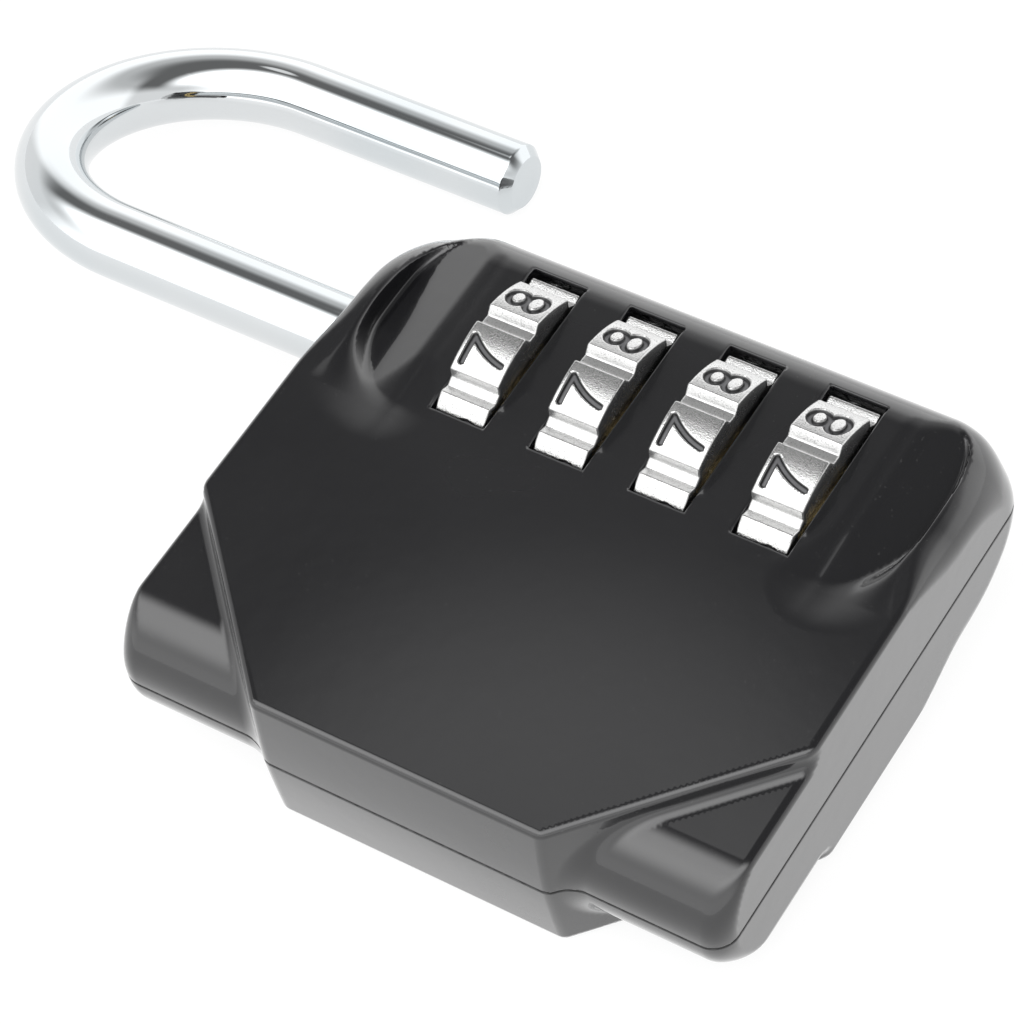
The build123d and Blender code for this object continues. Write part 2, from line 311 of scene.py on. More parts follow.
class Tree:
    """Node tree of one material or of the world."""

    def __init__(self, nodes: bpy.types.NodeTree) -> None:
        """Empties the tree that is to be filled."""
        self.tree = nodes
        self.tree.nodes.clear()

    def node(self, kind: str, settings: Optional[dict] = None,
             inputs: Optional[dict] = None, output: Union[int, str] = 0) -> Wire:
        """Adds any node.

        Args:
            kind: The node's type.
            settings: Properties to set first, such as a Math node's operation.
            inputs: Numbers, colours or wires for the sockets, by name or number.
            output: Which output is returned.

        Returns:
            The chosen output.
        """
        node = self.tree.nodes.new(kind)
        for key, setting in (settings or {}).items():
            setattr(node, key, setting)
        for key, value in (inputs or {}).items():
            if isinstance(value, Wire):
                self.tree.links.new(value.socket, node.inputs[key])
            else:
                node.inputs[key].default_value = value
        return Wire(self, node.outputs[output]) if len(node.outputs) else None

    def math(self, operation: str, *values: Value) -> Wire:
        """Adds a Math node with the given operation and values."""
        return self.node("ShaderNodeMath", {"operation": operation},
                         dict(enumerate(values)))

    def mix(self, share: Value, first: Value, second: Value) -> Wire:
        """Blends two colours: the first where share is 0, the second where it is 1."""
        return self.node("ShaderNodeMix", {"data_type": "RGBA"},
                         {0: share, 6: first, 7: second}, 2)

    def place(self) -> Wire:
        """Object coordinates, in metres."""
        return self.node("ShaderNodeTexCoord", output="Object")

    def stretched(self, scale: Sequence[float]) -> Wire:
        """Object coordinates multiplied along each axis."""
        return self.node("ShaderNodeVectorMath", {"operation": "MULTIPLY"},
                         {0: self.place(), 1: scale})

    def axis(self, name: str) -> Wire:
        """One of the object coordinates X, Y or Z."""
        return self.node("ShaderNodeSeparateXYZ", inputs={0: self.place()}, output=name)

    def noise(self, scale: float, detail: float = 2.0, where: Optional[Wire] = None
              ) -> Wire:
        """Soft noise between 0 and 1, with a number of waves a metre."""
        return self.node("ShaderNodeTexNoise", None,
                         {"Vector": where or self.place(), "Scale": scale,
                          "Detail": detail})

    def layer(self, name: str) -> Wire:
        """Numbers kept at the mesh's vertices."""
        return self.node("ShaderNodeAttribute", {"attribute_name": name}, output="Fac")

    def bump(self, height: Wire, depth: float, under: Optional[Wire] = None) -> Wire:
        """Normals of a fine relief of the given depth in metres."""
        inputs = {"Height": height, "Distance": depth, "Strength": 1.0}
        if under:
            inputs["Normal"] = under
        return self.node("ShaderNodeBump", None, inputs)


def new_material(name: str) -> tuple[bpy.types.Material, Tree]:
    """Makes an empty node material."""
    material = bpy.data.materials.new(name)
    material.use_nodes = True
    return material, Tree(material.node_tree)


def close_material(tree: Tree, sockets: dict) -> None:
    """Ends a material with a Principled shader that has the given sockets."""
    shader = tree.node("ShaderNodeBsdfPrincipled", None, sockets)
    tree.node("ShaderNodeOutputMaterial", None, {"Surface": shader})


# ---- Finishes -----------------------------------------------------------------------
@dataclass(frozen=True)
class BlackLacquer:
    """Glossy black lacquer over cast zinc, with a thin open line at the parting."""

    name: str = "black_lacquer"
    deep: Colour = (0.006, 0.006, 0.007, 1)
    thin: Colour = (0.034, 0.034, 0.036, 1)
    roughness: float = 0.2
    peel_waves: float = 420.0
    peel_depth: float = 0.0000035
    seam: float = 0.00016

    def make(self) -> bpy.types.Material:
        """Builds the material.

        Returns:
            Lacquer that is thinner, greyer and duller on its edges, with soft orange
            peel, a few specks of dust, and a dark seam where the shells meet.
        """
        material, t = new_material(self.name)
        worn = (t.layer("edge") * (0.4 + 0.9 * t.noise(700))).step(0.3, 1.1)
        mist = t.noise(38, 3).step(0.35, 0.75)
        speck = t.noise(4200, 0).step(0.80, 0.83)
        ragged = abs(t.axis("Z")) + (t.noise(1500, 3) - 0.5) * 0.00022
        seam = 1 - ragged.step(self.seam * 0.35, self.seam)
        colour = t.mix(worn, self.deep, self.thin)
        colour = t.mix(speck * 0.3, colour, (0.06, 0.06, 0.06, 1))
        colour = t.mix(seam, colour, (0.002, 0.002, 0.002, 1))
        relief = t.bump(t.noise(self.peel_waves, 2), self.peel_depth * 6)
        relief = t.bump(t.noise(2600, 2), self.peel_depth * 0.55, relief)
        close_material(t, {
            "Base Color": colour,
            "Roughness": self.roughness + 0.1 * mist + 0.16 * worn + 0.4 * seam,
            "Normal": relief,
            "Coat Weight": 1 - 0.9 * seam,
            "Coat Roughness": 0.035,
            "Coat IOR": 1.5,
            "IOR": 1.45,
        })
        return material


@dataclass(frozen=True)
class CastNickel:
    """Nickel over a grained casting, the engraved digits filled with black."""

    name: str = "cast_nickel"
    bright: Colour = (0.64, 0.64, 0.636, 1)
    dull: Colour = (0.25, 0.25, 0.253, 1)
    fill: Colour = (0.010, 0.010, 0.011, 1)
    fill_floor: Colour = (0.10, 0.10, 0.105, 1)

    def make(self) -> bpy.types.Material:
        """Builds the material.

        Returns:
            Metal with pits and grains a tenth of a millimetre across, greyer in the
            grooves, and black in the strokes, where the floor shows through a little.
        """
        material, t = new_material(self.name)
        grain = t.noise(8500, 3)
        patch = t.noise(900, 2)
        pit = grain.step(0.56, 0.66)
        low = t.layer("groove")
        stroke = t.layer("stroke")
        filled = 1 - stroke.step(0.50, 0.66)
        floor = (1 - stroke.step(0.12, 0.34)) * (0.4 + 0.9 * patch)
        metal = t.mix(pit * 0.55 + 0.35 * low * patch, self.bright, self.dull)
        black = t.mix(floor, self.fill, self.fill_floor)
        close_material(t, {
            "Base Color": t.mix(filled, metal, black),
            "Metallic": 1 - filled,
            "Roughness": 0.14 + 0.22 * grain * patch + 0.1 * low + 0.2 * filled,
            "Normal": t.bump(grain + 0.6 * patch, 0.00002),
        })
        return material


@dataclass(frozen=True)
class PolishedChrome:
    """Mirror chrome over a drawn bar, with a faint cold tint and fine marks."""

    name: str = "polished_chrome"
    bright: Colour = (0.68, 0.70, 0.71, 1)
    tinted: Colour = (0.60, 0.64, 0.66, 1)

    def make(self) -> bpy.types.Material:
        """Builds the material.

        Returns:
            Chrome whose polish varies in soft patches, with a slight waviness and
            short fine scratches.
        """
        material, t = new_material(self.name)
        patch = t.noise(45, 2).step(0.35, 0.7)
        scratch = t.noise(900, 2, t.stretched((1, 0.09, 1))).step(0.62, 0.72)
        relief = t.bump(t.noise(130, 1), 0.00002)
        relief = t.bump(scratch, 0.0000006, relief)
        close_material(t, {
            "Base Color": t.mix(patch * 0.8, self.bright, self.tinted),
            "Metallic": 1.0,
            "Roughness": 0.035 + 0.03 * patch + 0.05 * scratch,
            "Normal": relief,
        })
        return material


@dataclass(frozen=True)
class TurnedMetal:
    """Plain metal with fine rings or draw marks from its making."""

    name: str
    light: Colour
    dark: Colour
    roughness: float
    marks: tuple[float, float, float]

    def make(self) -> bpy.types.Material:
        """Builds the material.

        Returns:
            Metal with marks drawn out along the axis where the marks' scale is small,
            and a cloudy change of polish.
        """
        material, t = new_material(self.name)
        marks = t.noise(1400, 3, t.stretched(self.marks))
        cloud = t.noise(260, 2)
        close_material(t, {
            "Base Color": t.mix(0.6 * marks + 0.4 * cloud, self.light, self.dark),
            "Metallic": 1.0,
            "Roughness": self.roughness + 0.18 * cloud + 0.1 * marks,
            "Normal": t.bump(marks, 0.000006),
        })
        return material


# ---- Casing -------------------------------------------------------------------------
class Side(Enum):
    """The two castings of the casing."""

    FRONT = 1
    REAR = -1


@dataclass
class Casing:
    """Two castings that meet at mid-thickness; all sizes in millimetres."""

    finish: bpy.types.Material
    length: float = 54.45
    half: float = 7.4
    left: float = 37.4
    left_draft: float = 0.5
    left_low: float = 14.2
    left_high: float = 39.5
    diagonal_run: float = 15.3
    diagonal_draft: float = 0.6
    wedge_round: float = 0.35
    right: float = 11.1
    side_round: float = 4.2
    end_fall: float = 12.0
    end_blend: tuple[float, float] = (2.5, 9.5)
    end_round: float = 0.5
    rim_round: float = 1.2
    rim_span: tuple[float, float] = (-8.5, 0.0)
    corner_round: float = 2.8
    corner_span: tuple[float, float] = (2.5, 10.5)
    edge_round: float = 0.5
    step_left: float = 36.0
    step_half: float = 5.7
    step_round: float = 5.3
    step_corner: float = 1.6
    step_span: tuple[float, float] = (30.5, 35.0)
    step_reach: float = 12.0
    step_fillet: float = 0.9
    dial_places: tuple[float, ...] = (39.8, 30.8, 21.8, 12.8)
    dial_middle: float = 26.3
    dial_row: float = 18.0
    pocket_radius: float = 10.45
    pocket_width: float = 4.9
    window_low: float = -7.38
    window_high: float = 8.0
    scoop_middle: float = 1.6
    scoop_left: float = 11.2
    scoop_right: float = 8.8
    scoop_rim: float = 2.25
    scoop_base: float = 0.7
    scoop_start: float = 0.9
    scoop_roll: float = 0.8
    scoop_fall: float = 0.36
    scoop_power: float = 2.6
    scoop_fillet: float = 0.5
    scoop_soft: tuple[float, float] = (0.3, 0.9)
    scoop_soft_span: tuple[float, float] = (3.0, 9.0)
    lean_least: float = 0.1
    lean_more: float = 2.4
    lean_from: float = 0.5
    lean_span: float = 8.5
    bore_steps: tuple[tuple[float, float, float], ...] = (
        (6.45, 9.8, 42.8), (5.3, 6.8, 45.8), (2.7, 2.4, 6.8),
        (4.62, 45.8, 60.0), (3.62, 1.2, 2.4),
    )
    socket: tuple[float, float, float] = (28.5, 3.5, 47.75)
    socket_top: float = 60.0
    chambers: tuple[tuple[float, float, float, float], ...] = (
        (-12.2, -6.4, 15.4, 5.9), (-30.5, -14.5, 14.7, 5.6),
    )
    pin_end: float = 5.5
    pin_middle_x: float = -18.5
    pin_right_x: float = 8.0
    pin_left_x: float = -34.0
    pin_left_half: float = 8.0
    pin_hole: float = 1.22
    pin_depth: float = 3.6
    bore_edge: float = 0.16
    parting_edge: float = 0.14
    grid_step: float = 0.33
    grid_fine: float = 0.16
    wear_reach: float = 0.22

    def block(self, x: np.ndarray, y: np.ndarray, z: np.ndarray) -> np.ndarray:
        """Outer form of the closed casing.

        The raised block is a six-sided outline with its long right-hand edges rounded,
        more at the ends than in the middle. The corner steps are a thinner layer with a
        full round on the left, and a fillet where the block rises out of them. The end
        faces cut both, with an edge that is rounder beside the hollows and at the
        corners. Last, a hollow for a finger is cut beside each outer dial.

        Args:
            x: Position right of the dial axis.
            y: Height above the bottom end.
            z: Position in front of mid-thickness.

        Returns:
            Distance to the casing without its bores.
        """
        thick = np.abs(z)
        ends = np.maximum(-y, y - self.length)
        run, aside = self.diagonal_run, x + self.left
        rise = self.length - self.left_high
        upper = (run * (y - self.left_high) - rise * aside) / math.hypot(run, rise)
        rise = self.left_low
        lower = (run * (self.left_low - y) - rise * aside) / math.hypot(run, rise)
        draft = self.left_draft * np.clip(thick / self.half, 0, 1) ** 1.5
        diagonal = np.maximum(upper, lower) + self.diagonal_draft * draft
        wedge = both(-x - self.left + draft, diagonal, self.wedge_round)

        beyond = np.abs(y - self.dial_middle) - self.dial_row
        panel = both(thick - self.half, x - self.right, self.side_round)
        oval_x = np.maximum(x - self.right + self.end_fall, 0) / self.end_fall ** 2
        oval_z = thick / self.half ** 2
        oval = np.hypot(oval_x * self.end_fall, oval_z * self.half)
        rolled = (oval - 1) * oval / np.maximum(np.hypot(oval_x, oval_z), 1e-6)
        panel += (rolled - panel) * ease(beyond, *self.end_blend)
        panel = both(panel, wedge, self.edge_round)
        step = both(thick - self.step_half, -x - self.step_left, self.step_round)
        body = either(panel, np.maximum(step, x + self.step_reach), self.step_fillet)

        lower_rim = (y < self.dial_middle) * self.rim_round
        rounding = (self.end_round
                    + (self.rim_round + lower_rim) * ease(x, *self.rim_span)
                    + (self.corner_round - self.end_round - self.rim_round)
                    * ease(x, *self.corner_span)
                    + self.step_corner * ease(-x, *self.step_span))
        body = both(body, ends, rounding)
        soft = self.scoop_soft[0] + self.scoop_soft[1] * ease(-x, *self.scoop_soft_span)
        return without(body, self.scoop(x, beyond, thick, y > self.dial_middle), soft)

    def scoop(self, x: np.ndarray, beyond: np.ndarray, thick: np.ndarray,
              upper: np.ndarray) -> np.ndarray:
        """Distance to the hollow for a finger beside an outer dial.

        The floor rolls off the face just beyond the row of dials and slopes down
        towards the end. An oval wall stops it, steep towards the end and leaning at
        the left.

        Args:
            x: Position right of the dial axis.
            beyond: Distance beyond the row of dials.
            thick: Distance from mid-thickness.
            upper: Whether the nearer end is the one with the shackle.

        Returns:
            Distance to the hollow.
        """
        start = beyond - self.scoop_start
        roll = np.clip(start, -self.scoop_roll, self.scoop_roll)
        fall = roll * np.abs(roll) / (2 * self.scoop_roll) + (start - roll)
        floor = self.half - self.scoop_fall * fall - thick
        floor = floor / math.hypot(1, self.scoop_fall)

        margin = np.where(upper, self.length - self.dial_middle, self.dial_middle)
        reach = margin - self.dial_row - self.scoop_rim - self.scoop_base
        aside = x - self.scoop_middle
        half_width = np.where(aside < 0, self.scoop_left, self.scoop_right)
        u = np.abs(aside) / half_width
        v = np.maximum(beyond - self.scoop_base, 0) / reach
        power = self.scoop_power
        oval = (u ** power + v ** power + 1e-9) ** (1 / power)
        steepness = np.hypot(u ** (power - 1) / half_width, v ** (power - 1) / reach)
        steepness = steepness / oval ** (power - 1)
        leftward = np.clip((-x - self.lean_from) / self.lean_span, 0, 1)
        lean = self.lean_least + self.lean_more * leftward ** 2
        wall = (oval - 1) / np.maximum(steepness, 0.05) + lean * (self.half - thick)
        return both(floor, wall / np.hypot(1, lean), self.scoop_fillet)

    def bores(self, x: np.ndarray, y: np.ndarray, z: np.ndarray) -> np.ndarray:
        """Everything that is cut out inside: pockets, windows, bores and holes.

        Returns:
            Distance to the nearest of them.
        """
        axis = np.hypot(x, z)
        cuts = []
        for place in self.dial_places:
            width = slab(y, place - self.pocket_width / 2, place + self.pocket_width / 2)
            window = slab(x, self.window_low, self.window_high)
            cuts.append(np.maximum(width, np.minimum(axis - self.pocket_radius, window)))
        for radius, low, high in self.bore_steps:
            cuts.append(np.maximum(axis - radius, slab(y, low, high)))
        away, radius, low = self.socket
        cuts.append(np.maximum(np.hypot(x + away, z) - radius,
                               slab(y, low, self.socket_top)))
        for x_low, x_high, reach, depth in self.chambers:
            box = np.maximum(slab(x, x_low, x_high), np.abs(y - self.dial_middle) - reach)
            cuts.append(np.maximum(box, np.abs(z) - depth))
        low, high = self.pin_end, self.length - self.pin_end
        left_low = self.dial_middle - self.pin_left_half
        left_high = self.dial_middle + self.pin_left_half
        for pin_x, pin_y in ((self.pin_left_x, left_low), (self.pin_left_x, left_high),
                             (self.pin_middle_x, low), (self.pin_middle_x, high),
                             (self.pin_right_x, low), (self.pin_right_x, high)):
            hole = np.hypot(x - pin_x, y - pin_y) - self.pin_hole
            cuts.append(np.maximum(hole, np.abs(z) - self.pin_depth))
        return np.minimum.reduce(cuts)

    def casting(self, side: Side) -> Distance:
        """Distance to one of the two castings."""
        def distance(points: np.ndarray) -> np.ndarray:
            """Block without its bores, on this side of the parting."""
            x, y, z = points.T
            solid = without(self.block(x, y, z), self.bores(x, y, z), self.bore_edge)
            return both(solid, -z * side.value, self.parting_edge)
        return distance

    def edges(self, points: np.ndarray) -> np.ndarray:
        """How sharply the casing turns at each point, 0 on flats and 1 on edges.

        The block is measured a little way along its normal on both sides: the distances
        add up to nothing on a flat and to more as the surface curves away.
        """
        reach = self.wear_reach

        def depth(p: np.ndarray) -> np.ndarray:
            """Distance to the closed casing."""
            return without(self.block(*p.T), self.bores(*p.T), self.bore_edge)
        spread = np.zeros(len(points))
        for axis in np.eye(3) * reach:
            spread += depth(points + axis) + depth(points - axis)
        return np.clip(spread / reach / 1.5, 0, 1)

    def build(self) -> list[bpy.types.Object]:
        """Makes both castings.

        Returns:
            The new objects.
        """
        made = []
        windows = [p + s * self.pocket_width / 2 for p in self.dial_places for s in (-1, 1)]
        x_lines = graded(-self.left - 0.4, self.right + 0.4, self.grid_step,
                         self.grid_fine, (self.window_low, self.window_high))
        y_lines = graded(-0.4, self.length + 0.4, self.grid_step, self.grid_fine,
                         windows, 0.35)
        for side, node in ((Side.FRONT, "front_shell"), (Side.REAR, "rear_shell")):
            z_lines = graded(-0.25, self.half + 0.3, 0.36, 0.11, (0.0,), 0.4)
            z_lines = z_lines if side is Side.FRONT else -z_lines[::-1]
            points, quads, normals = skin(self.casting(side), (x_lines, y_lines, z_lines))
            piece = make_piece(node.replace("shell", "casting"), points, quads, normals,
                               {"edge": self.edges(points)})
            piece.data.materials.append(self.finish)
            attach(piece, "casing")
            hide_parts(node)
            made.append(piece)
        return made


# ---- Dials --------------------------------------------------------------------------
def arc(x: float, y: float, wide: float, high: float, start: float, end: float
        ) -> np.ndarray:
    """Points along an oval arc between two angles in degrees."""
    angle = np.radians(np.linspace(start, end, 25))
    return np.stack([x + wide * np.cos(angle), y + high * np.sin(angle)], axis=1)


def run(*corners: tuple[float, float]) -> np.ndarray:
    """Points of a stroke of straight lines."""
    return np.array(corners, dtype=float)


def bow(start: tuple, pull: tuple, end: tuple) -> np.ndarray:
    """Points along a curve from start to end, drawn towards a third point."""
    t = np.linspace(0, 1, 17)[:, None]
    a, b, c = (np.array(p, dtype=float) for p in (start, pull, end))
    return (1 - t) ** 2 * a + 2 * t * (1 - t) * b + t ** 2 * c


DIGITS: tuple[tuple[np.ndarray, ...], ...] = (
    (arc(0, 0, 0.95, 1, 0, 360),),
    (run((-0.5, 0.6), (0.15, 1), (0.15, -1)),),
    (np.concatenate([arc(0, 0.45, 0.92, 0.55, 165, -30), run((-0.95, -1), (1, -1))]),),
    (arc(-0.05, 0.5, 0.85, 0.5, 155, -90), arc(-0.05, -0.5, 1, 0.5, 90, -155)),
    (run((0.4, -1), (0.4, 1), (-1, -0.4), (1, -0.4)),),
    (np.concatenate([run((0.85, 1), (-0.65, 1), (-0.8, 0.1)),
                     arc(0, -0.37, 0.97, 0.63, 130, -150)]),),
    (arc(-0.14, -0.42, 0.78, 0.58, 0, 360), bow((-0.92, -0.42), (-0.85, 0.7), (0.4, 1))),
    (run((-1, 1), (1, 1)), bow((1, 1), (-0.1, 0.1), (-0.35, -1))),
    (arc(0, 0.5, 0.8, 0.48, 0, 360), arc(0, -0.5, 0.98, 0.5, 0, 360)),
    (arc(0, 0.42, 0.95, 0.58, 0, 360), bow((0.95, 0.42), (0.8, -0.7), (-0.6, -1))),
)


def stroke_distance(spots: np.ndarray, strokes: Sequence[np.ndarray]) -> np.ndarray:
    """Distance from each spot to the nearest stroke, segment by segment.

    Args:
        spots: Rows of two coordinates.
        strokes: Points along each stroke.

    Returns:
        Distance of each spot to the middle line of the strokes.
    """
    starts = np.concatenate([s[:-1] for s in strokes])
    ends = np.concatenate([s[1:] for s in strokes])
    along = ends - starts
    offset = spots[:, None, :] - starts[None]
    share = (offset * along).sum(2) / np.maximum((along ** 2).sum(1), 1e-12)
    nearest = offset - np.clip(share, 0, 1)[..., None] * along
    return np.sqrt((nearest ** 2).sum(2)).min(axis=1)


@dataclass
class Dials:
    """Four rings with ten pads each, a digit engraved on every pad."""

    finish: bpy.types.Material
    places: tuple[float, ...] = (39.8, 30.8, 21.8, 12.8)
    radius: float = 10.1
    width: float = 4.5
    bore: float = 6.45
    groove_angle: float = 4.0
    groove_depth: float = 0.75
    groove_mouth: float = 1.9
    groove_floor: float = 0.9
    slot_depth: float = 0.55
    slot_width: float = 1.3
    first_digit: int = 7
    digit_turn: float = -1.2
    digit_size: tuple[float, float] = (1.17, 1.6)
    stroke: float = 0.27
    engraving: float = 0.32
    edge: float = 0.16
    columns: int = 1000
    face_rows: int = 52

    def ring(self, place: float) -> tuple[np.ndarray, np.ndarray, dict]:
        """Surface of one dial.

        Each point is at an angle round the axis and at a station round the ring's
        section: along the bore, out over one side, back along the pads and in over the
        other side. The rim is the dial's radius less the groove's depth, which falls
        linearly from the mouth to the floor, less the engraving within the strokes.
        The bore has a slot for each lug of the hub.

        Args:
            place: Height of the dial's middle.

        Returns:
            Vertices, quads, and the layers that the finish reads.
        """
        turn = np.arange(self.columns) * 360 / self.columns
        from_groove = (turn - self.groove_angle + 18) % 36 - 18
        aside = np.abs(np.radians(from_groove)) * self.radius
        half_mouth, half_floor = self.groove_mouth / 2, self.groove_floor / 2
        fall = np.zeros_like(aside)
        for blur in (-0.07, -0.035, 0, 0.035, 0.07):
            fall += np.clip((half_mouth - aside - blur) / (half_mouth - half_floor), 0, 1)
        fall = fall / 5 * self.groove_depth

        half = self.width / 2
        rows = np.linspace(-half + self.edge, half - self.edge, self.face_rows)
        digit = np.floor((turn - self.groove_angle) / 36).astype(int)
        digit = (digit + self.first_digit + 1) % 10
        middle = self.groove_angle + 18 + 36 * np.floor((turn - self.groove_angle) / 36)
        sideways = np.radians(turn - middle - self.digit_turn) * self.radius
        far = np.full((self.face_rows, self.columns), 9.0)
        for number, strokes in enumerate(DIGITS):
            chosen = np.flatnonzero((digit == number) & (fall < 0.01))
            spots = np.stack(np.meshgrid(sideways[chosen], rows), axis=-1).reshape(-1, 2)
            scaled = [s * np.array(self.digit_size) for s in strokes]
            far[:, chosen] = stroke_distance(spots, scaled).reshape(len(rows), -1)
        cut = self.engraving * ease(-far, -self.stroke - 0.05, -self.stroke + 0.07)

        slot = np.abs(np.radians(from_groove)) * self.bore < self.slot_width / 2
        bore = self.bore + self.slot_depth * slot
        rim = self.radius - fall
        stations: list[tuple[np.ndarray, float, Optional[int]]] = []
        for share in np.linspace(-1, 1, 5):
            stations.append((bore, share * half, None))
        for share in (0.25, 0.5, 0.75):
            stations.append((bore + (rim - self.edge - bore) * share, half, None))
        for bend in (0.0, 0.5):
            inward = self.edge * (1 - math.sin(bend * math.pi / 2))
            stations.append((rim - inward, half - self.edge
                             + self.edge * math.cos(bend * math.pi / 2), None))
        for index in reversed(range(self.face_rows)):
            stations.append((rim - cut[index], rows[index], index))
        for bend in (0.5, 0.0):
            inward = self.edge * (1 - math.sin(bend * math.pi / 2))
            stations.append((rim - inward, -half + self.edge
                             - self.edge * math.cos(bend * math.pi / 2), None))
        for share in (0.75, 0.5, 0.25):
            stations.append((bore + (rim - self.edge - bore) * share, -half, None))

        angle = np.radians(turn)
        reach = np.array([s[0] for s in stations])
        height = np.array([s[1] for s in stations])[:, None] + place
        points = np.stack([reach * np.sin(angle), height + 0 * reach,
                           reach * np.cos(angle)], axis=-1).reshape(-1, 3)
        stroke = np.array([far[s[2]] if s[2] is not None else np.full(self.columns, 9.0)
                           for s in stations])
        low = np.array([fall / self.groove_depth if s[2] is not None else 0.5 + 0 * fall
                        for s in stations])
        quads = grid_quads(len(stations), self.columns, True, True)
        layers = {"stroke": np.clip(stroke / 0.5, 0, 2).reshape(-1),
                  "groove": low.reshape(-1)}
        return points, quads, layers

    def build(self) -> list[bpy.types.Object]:
        """Makes the four dials.

        Returns:
            The new objects.
        """
        made = []
        for number, place in enumerate(self.places, start=1):
            points, quads, layers = self.ring(place)
            piece = make_piece(f"dial_ring_{number}", points, quads, None, layers, 50)
            piece.data.materials.append(self.finish)
            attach(piece, f"dial_{number}")
            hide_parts(f"dial_{number}")
            made.append(piece)
        return made


# ---- Shackle ------------------------------------------------------------------------
@dataclass
class Shackle:
    """Round bar bent to a U; the long leg is on the dial axis."""

    finish: bpy.types.Material
    radius: float = 3.2
    spacing: float = 28.5
    foot: float = 46.1
    bend_start: float = 79.75
    tip: float = 57.35
    swing: float = 20.0
    chamfer: float = 0.8
    foot_chamfer: float = 0.3
    bore: float = 1.85
    bore_depth: float = 6.0
    around: int = 128
    easing: float = 0.12

    def centre(self, along: np.ndarray) -> tuple[np.ndarray, np.ndarray]:
        """Middle line of the bar: a straight leg, a half circle and a straight leg.

        Args:
            along: Length from the foot of the long leg.

        Returns:
            Points and directions in the shackle's own plane, as (outward, up).
        """
        bend = self.spacing / 2
        first = self.bend_start - self.foot
        angle = np.clip((along - first) / bend, 0, math.pi)
        before = np.minimum(along - first, 0)
        after = np.maximum(along - first - bend * math.pi, 0)
        spot = np.stack([bend * (1 - np.cos(angle)),
                         self.bend_start + bend * np.sin(angle) + before - after], axis=1)
        way = np.stack([np.sin(angle), np.cos(angle)], axis=1)
        return spot, way

    def profile(self) -> np.ndarray:
        """Radius along the bar, from the bottom of the foot's bore to the tip.

        Returns:
            Rows of length from the foot and radius, with two close rows at each edge.
        """
        bend = self.spacing / 2
        total = ((self.bend_start - self.foot) + math.pi * bend
                 + (self.bend_start - self.tip))
        e, r, c, f = self.easing, self.radius, self.chamfer, self.foot_chamfer
        start = [(self.bore_depth, 0.02), (self.bore_depth, self.bore), (0.0, self.bore),
                 (0.0, r - f), (f, r)]
        body = [(s, r) for s in np.linspace(f + 0.3, total - c - 2 * e, 260)]
        end = [(total - c - e, r), (total - c - 0.3 * e, r - 0.12 * e),
               (total - c + 0.5 * e, r - 0.7 * e), (total - 0.7 * e, r - c + 0.5 * e),
               (total - 0.15 * e, r - c - 0.15 * e), (total, r - c - e),
               (total, 1.2), (total, 0.02)]
        return np.array(start + body + end)

    def build(self) -> bpy.types.Object:
        """Makes the shackle.

        A circle is carried along the middle line, square to it, and its radius follows
        the profile; both ends are closed by a small polygon.

        Returns:
            The new object.
        """
        rows = self.profile()
        spot, way = self.centre(rows[:, 0])
        swing = math.radians(self.swing)
        outward = np.array([math.cos(swing), 0, -math.sin(swing)])
        up = np.array([0.0, 1.0, 0.0])
        flank = np.array([math.sin(swing), 0, math.cos(swing)])
        middle = spot[:, :1] * outward + spot[:, 1:] * up
        side = way[:, 1:] * outward - way[:, :1] * up
        turn = np.linspace(0, 2 * math.pi, self.around, endpoint=False)
        ring = (np.cos(turn)[None, :, None] * side[:, None, :]
                + np.sin(turn)[None, :, None] * flank[None, None, :])
        points = (middle[:, None, :] + rows[:, 1][:, None, None] * ring).reshape(-1, 3)
        quads = grid_quads(len(rows), self.around, False, True)[:, ::-1]
        last = (len(rows) - 1) * self.around
        caps = [list(range(self.around)), list(range(last + self.around - 1, last - 1, -1))]
        piece = make_piece("bent_shackle", points, quads.tolist() + caps, None, None, 28)
        piece.data.materials.append(self.finish)
        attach(piece, "shackle")
        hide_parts("shackle")
        return piece


# ---- Pieces inside ------------------------------------------------------------------
@dataclass
class InnerWorks:
    """Pieces held inside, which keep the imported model's meshes."""

    finishes: dict[str, bpy.types.Material]
    nodes: dict[str, str] = field(default_factory=lambda: {
        "hub": "brass", "leg_bush": "brass", "locking_rod": "steel",
        "swivel_pin": "steel", "guide_post": "steel", "assembly_pins": "steel",
        "lift_spring": "spring", "click_spring": "spring",
    })

    def dress(self) -> int:
        """Gives each inner piece its finish.

        Returns:
            How many pieces were dressed.
        """
        count = 0
        for name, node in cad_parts.items():
            for start, finish in self.nodes.items():
                if name.startswith(start):
                    for place in node.material_slots:
                        place.material = self.finishes[finish]
                    count += 1
        return count


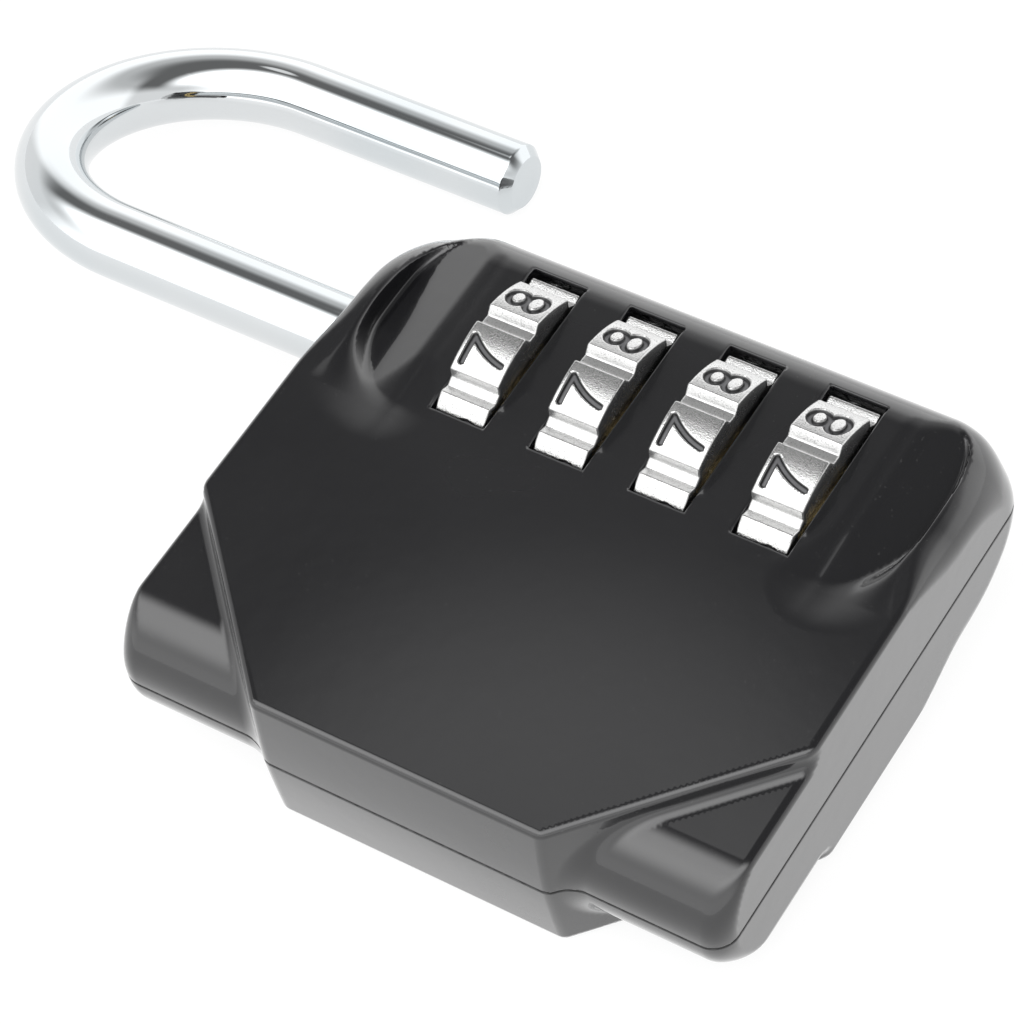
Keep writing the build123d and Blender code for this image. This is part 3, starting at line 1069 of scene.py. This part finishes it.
# ---- Floor, light and camera --------------------------------------------------------
@dataclass
class Studio:
    """White table, a bright tent of soft light, and the camera; sizes in metres."""

    tilt: float = 5.0
    rest_edge: tuple[float, float] = (-0.0369, -0.0074)
    table: float = 1.6
    eye: tuple[float, float, float] = (-0.1501, -0.09415, 0.2529)
    right: tuple[float, float, float] = (0.5238, -0.8410, -0.1372)
    up: tuple[float, float, float] = (0.7268, 0.3567, 0.5871)
    forward: tuple[float, float, float] = (0.4447, 0.4071, -0.7978)
    lens: float = 142.7
    dim_light: float = 0.17
    left_light: float = 2.8
    side_light: float = 0.7
    right_light: float = 0.5
    horizon_light: float = 0.8
    spot_light: float = 0.8
    spot_way: tuple[float, float, float] = (0.370, 0.360, 0.857)

    def floor(self) -> bpy.types.Object:
        """Makes the table.

        The lock's back edge and the drooping short leg both touch it, so in the lock's
        frame it is a plane turned a few degrees about Y.

        Returns:
            The floor.
        """
        tilt = math.radians(self.tilt)
        normal = np.array([math.sin(tilt), 0, math.cos(tilt)])
        level = normal @ np.array([self.rest_edge[0], 0, self.rest_edge[1]])
        spread = np.linspace(-self.table, self.table, 41)
        across, along = np.meshgrid(spread, spread, indexing="ij")
        down = (level - across * normal[0]) / normal[2]
        points = np.stack([across, along, down], axis=-1).reshape(-1, 3)
        quads = grid_quads(41, 41, False, False)[:, ::-1]
        piece = make_piece("table", points / MM, quads)
        material, t = new_material("white_table")
        soft = t.noise(9, 2)
        close_material(t, {
            "Base Color": t.mix(soft, (0.11, 0.11, 0.11, 1), (0.14, 0.14, 0.14, 1)),
            "Roughness": 0.7,
            "Specular IOR Level": 0.1,
            "Emission Color": (1.0, 1.0, 1.0, 1),
            "Emission Strength": 0.89,
        })
        piece.data.materials.append(material)
        return piece

    def world(self) -> None:
        """Fills the surroundings with soft light.

        The strength is worked out from the direction: dim all round, with a wide bright
        light high on the left, weaker ones low on the left and right, a glow along the
        horizon and a small soft spot overhead.
        """
        world = bpy.data.worlds.new("soft_tent")
        bpy.context.scene.world = world
        world.use_nodes = True
        t = Tree(world.node_tree)
        way = t.node("ShaderNodeTexCoord", output="Generated")
        x, z = (t.node("ShaderNodeSeparateXYZ", inputs={0: way}, output=name)
                for name in ("X", "Z"))
        left = ((0 - x).step(-0.25, 0.1) * z.step(0.35, 0.9) * self.left_light
                + (0 - x).step(0.2, 0.7) * self.side_light)
        right = x.step(0.42, 0.62) * (1 - z.step(0.6, 0.85)) * self.right_light
        glow = (1 - z.step(0.32, 0.6)) * self.horizon_light
        nearness = t.node("ShaderNodeVectorMath", {"operation": "DOT_PRODUCT"},
                          {0: way, 1: self.spot_way}, "Value")
        spot = nearness.step(0.9945, 0.9994) * self.spot_light
        back = t.node("ShaderNodeBackground", None,
                      {"Color": (1.0, 1.0, 1.0, 1),
                       "Strength": self.dim_light + left + right + glow + spot})
        t.node("ShaderNodeOutputWorld", None, {"Surface": back})

    def camera(self) -> None:
        """Sets up the camera."""
        data = bpy.data.cameras.new("camera")
        data.lens, data.sensor_width = self.lens, 36.0
        data.clip_start = 0.01
        camera = bpy.data.objects.new("camera", data)
        axes = Matrix((self.right, self.up, [-part for part in self.forward])).transposed()
        camera.matrix_world = Matrix.Translation(self.eye) @ axes.to_4x4()
        bpy.context.scene.collection.objects.link(camera)
        bpy.context.scene.camera = camera

    def build(self) -> None:
        """Makes the whole studio."""
        self.camera()
        self.floor()
        self.world()
        view = bpy.context.scene.view_settings
        view.view_transform = "Standard"


def main() -> None:
    """Builds every sub-assembly in order and reports each piece."""
    logging.basicConfig(level=logging.INFO, format="%(name)s: %(message)s")
    Studio().build()
    brass = TurnedMetal("turned_brass", (0.80, 0.62, 0.30, 1), (0.55, 0.40, 0.18, 1),
                        0.22, (0.15, 1, 0.15))
    steel = TurnedMetal("plated_steel", (0.66, 0.67, 0.68, 1), (0.42, 0.42, 0.44, 1),
                        0.26, (0.15, 1, 0.15))
    spring = TurnedMetal("spring_steel", (0.58, 0.58, 0.60, 1), (0.34, 0.34, 0.36, 1),
                         0.24, (1, 0.12, 1))
    for piece in Casing(BlackLacquer().make()).build():
        log.info("%s: %d faces", piece.name, len(piece.data.polygons))
    for piece in Dials(CastNickel().make()).build():
        log.info("%s: %d faces", piece.name, len(piece.data.polygons))
    piece = Shackle(PolishedChrome().make()).build()
    log.info("%s: %d faces", piece.name, len(piece.data.polygons))
    inner = InnerWorks({"brass": brass.make(), "steel": steel.make(),
                        "spring": spring.make()})
    log.info("%d inner pieces dressed", inner.dress())


if __name__ == "__main__":
    main()
